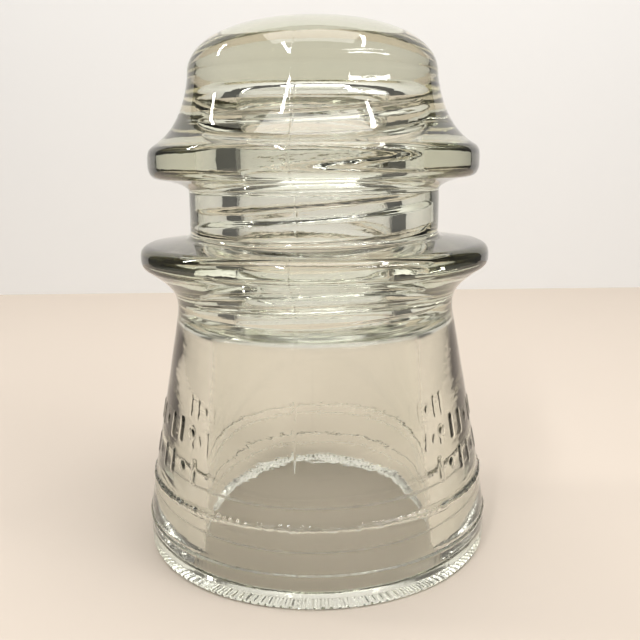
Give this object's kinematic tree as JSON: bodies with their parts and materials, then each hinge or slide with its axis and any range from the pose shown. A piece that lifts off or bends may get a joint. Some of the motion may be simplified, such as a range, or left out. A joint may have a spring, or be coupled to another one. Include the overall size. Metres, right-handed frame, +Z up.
{
  "type": "pin insulator",
  "caption": "Clear pressed-glass pin insulator: dome, wire groove between two ridges, hollow flaring skirt and a threaded pinhole underneath that screws onto a crossarm pin.",
  "frame": {"origin": "centre of the base rim, on the surface that the insulator stands on", "axes": "+Z up along the axis of the dome, skirt and pinhole; the front mould seam is about 6 degrees from -Y towards -X"},
  "size_m": [0.0626, 0.0629, 0.0909],
  "materials": {
    "clear_glass": "clear pressed glass with a faint yellow-green tint, fire-polished, with ripples and seams"
  },
  "bodies": {
    "root": {"glass_body": "clear_glass"}
  },
  "joints": []
}
